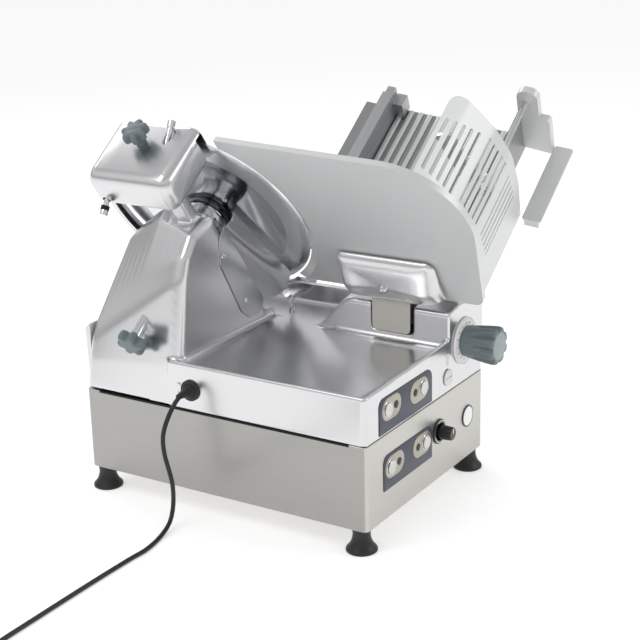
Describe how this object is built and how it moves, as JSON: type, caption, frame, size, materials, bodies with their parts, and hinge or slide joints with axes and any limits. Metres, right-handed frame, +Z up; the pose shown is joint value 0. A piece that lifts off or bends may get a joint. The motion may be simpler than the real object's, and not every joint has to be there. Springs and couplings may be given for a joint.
{
  "type": "deli meat slicer",
  "caption": "Counter-top gravity-feed deli slicer with tilted round blade, gauge plate, sliding product carriage, sharpener and front control panels.",
  "frame": {"origin": "floor level, under the middle of the machine's box (cord left out)", "axes": "+Z up, +Y away from the operator's front panel side, +X to the right towards the product carriage"},
  "size_m": [1.282, 0.7102, 0.6742],
  "materials": {
    "cast_aluminium": "satin cast, lightly polished",
    "brushed_steel": "horizontal brushed grain",
    "polished_steel": "polished",
    "anodised_aluminium": "matt anodised",
    "black_rubber": "matt",
    "grey_plastic": "moulded",
    "dark_plastic": "moulded",
    "panel_film": "printed film",
    "white_plastic": "moulded",
    "grinding_stone": "bonded abrasive, granular",
    "painted_motor": "semi-matt paint"
  },
  "bodies": {
    "base": {"badge": "white_plastic", "base_box": "brushed_steel", "blade_cover": "cast_aluminium", "blade_motor": "painted_motor", "body_casting": "cast_aluminium", "bottom_plate": "brushed_steel", "carriage_motor": "painted_motor", "carriage_rail": "polished_steel", "cord_coil": "black_rubber", "cord_gland": "black_rubber", "drive_belt": "black_rubber", "foot_front_left": "black_rubber", "foot_front_right": "black_rubber", "foot_rear_left": "black_rubber", "foot_rear_right": "black_rubber", "panel_lower": "panel_film", "panel_upper": "panel_film", "plug": "black_rubber", "power_cord": "black_rubber", "rear_cover": "cast_aluminium", "ring_guard": "cast_aluminium", "ring_pin": "polished_steel", "screw_cap": "anodised_aluminium", "selector_bezel": "dark_plastic", "shaft_bearing": "brushed_steel", "slice_deflector": "polished_steel"},
    "carriage": {"product_tray": "anodised_aluminium", "tray_fence": "anodised_aluminium", "slotted_guard": "anodised_aluminium", "pusher_rod": "polished_steel", "rod_bracket": "cast_aluminium", "carriage_handle": "anodised_aluminium", "carriage_arm": "cast_aluminium"},
    "pusher_sleeve": {"pusher_sleeve": "polished_steel"},
    "pusher": {"pusher": "cast_aluminium"},
    "gauge": {"gauge_plate": "anodised_aluminium", "gauge_arm": "cast_aluminium", "gauge_arm_cover": "cast_aluminium", "cover_screw": "polished_steel", "slot_shield": "anodised_aluminium"},
    "thickness_control": {"thickness_knob": "grey_plastic", "thickness_dial": "white_plastic"},
    "blade": {"blade": "polished_steel", "blade_shaft": "brushed_steel", "driven_pulley": "cast_aluminium"},
    "motor_rotor": {"motor_pulley": "cast_aluminium"},
    "tie_rod": {"tie_rod": "polished_steel", "tie_rod_knob": "grey_plastic"},
    "sharpener": {"sharpener_housing": "cast_aluminium"},
    "sharpener_knob": {"sharpener_knob": "grey_plastic"},
    "hone_button": {"sharpener_button_hone": "polished_steel", "honing_stone": "grinding_stone"},
    "grind_button": {"sharpener_button_grind": "polished_steel", "grinding_stone": "grinding_stone"},
    "selector": {"selector_knob": "dark_plastic"},
    "start_upper": {"push_button_start_upper": "polished_steel"},
    "stop_upper": {"push_button_stop_upper": "polished_steel"},
    "start_lower": {"push_button_start_lower": "polished_steel"},
    "stop_lower": {"push_button_stop_lower": "polished_steel"}
  },
  "joints": [
    {"name": "carriage_slide", "type": "slide", "parent": "base", "child": "carriage", "axis": [0, 1, 0], "range_m": [0, 0.28]},
    {"name": "pusher_slide", "type": "slide", "parent": "carriage", "child": "pusher_sleeve", "axis": [0.809, 0, 0.5878], "range_m": [-0.09, 0.14]},
    {"name": "pusher_swing", "type": "hinge", "parent": "pusher_sleeve", "child": "pusher", "pos_m": [-0.02944, -0.29946, 0.44019], "axis": [0.809, 0, 0.5878], "range_deg": [-70, 0]},
    {"name": "gauge_slide", "type": "slide", "parent": "base", "child": "gauge", "axis": [-0.809, 0, -0.5878], "range_m": [0, 0.016]},
    {"name": "thickness_turn", "type": "hinge", "parent": "base", "child": "thickness_control", "pos_m": [0.05832, -0.26842, 0.2515], "axis": [0, 1, 0], "range_deg": [0, 330]},
    {"name": "blade_spin", "type": "hinge", "parent": "base", "child": "blade", "pos_m": [-0.05332, 0.15308, 0.45077], "axis": [0.809, 0, 0.5878], "continuous": true},
    {"name": "motor_spin", "type": "hinge", "parent": "base", "child": "motor_rotor", "pos_m": [0.03485, 0.15308, 0.32942], "axis": [0.809, 0, 0.5878], "continuous": true},
    {"name": "tie_rod_turn", "type": "hinge", "parent": "base", "child": "tie_rod", "pos_m": [-0.05332, 0.15308, 0.45077], "axis": [0.809, 0, 0.5878], "range_deg": [0, 360]},
    {"name": "sharpener_lift", "type": "slide", "parent": "base", "child": "sharpener", "axis": [-0.5878, 0, 0.809], "range_m": [0, 0.045]},
    {"name": "sharpener_clamp", "type": "hinge", "parent": "sharpener", "child": "sharpener_knob", "pos_m": [-0.19801, 0.17708, 0.59038], "axis": [-0.5878, 0, 0.809], "range_deg": [0, 180]},
    {"name": "hone_press", "type": "slide", "parent": "sharpener", "child": "hone_button", "axis": [-0.4695, 0, -0.8829], "range_m": [0, 0.002], "stiffness_N_per_m": 600},
    {"name": "grind_press", "type": "slide", "parent": "sharpener", "child": "grind_button", "axis": [0.4695, 0, 0.8829], "range_m": [0, 0.006], "stiffness_N_per_m": 600},
    {"name": "selector_turn", "type": "hinge", "parent": "base", "child": "selector", "pos_m": [-0.03068, -0.26842, 0.122], "axis": [0, 1, 0], "range_deg": [-135, 135]},
    {"name": "start_upper_press", "type": "slide", "parent": "base", "child": "start_upper", "axis": [0, 1, 0], "range_m": [0, 0.002], "stiffness_N_per_m": 500},
    {"name": "stop_upper_press", "type": "slide", "parent": "base", "child": "stop_upper", "axis": [0, 1, 0], "range_m": [0, 0.002], "stiffness_N_per_m": 500},
    {"name": "start_lower_press", "type": "slide", "parent": "base", "child": "start_lower", "axis": [0, 1, 0], "range_m": [0, 0.002], "stiffness_N_per_m": 500},
    {"name": "stop_lower_press", "type": "slide", "parent": "base", "child": "stop_lower", "axis": [0, 1, 0], "range_m": [0, 0.002], "stiffness_N_per_m": 500}
  ],
  "couplings": [
    {"joint": "thickness_turn", "follows": "gauge_slide", "rad_per_m": 355},
    {"joint": "motor_spin", "follows": "blade_spin", "ratio": 2}
  ]
}
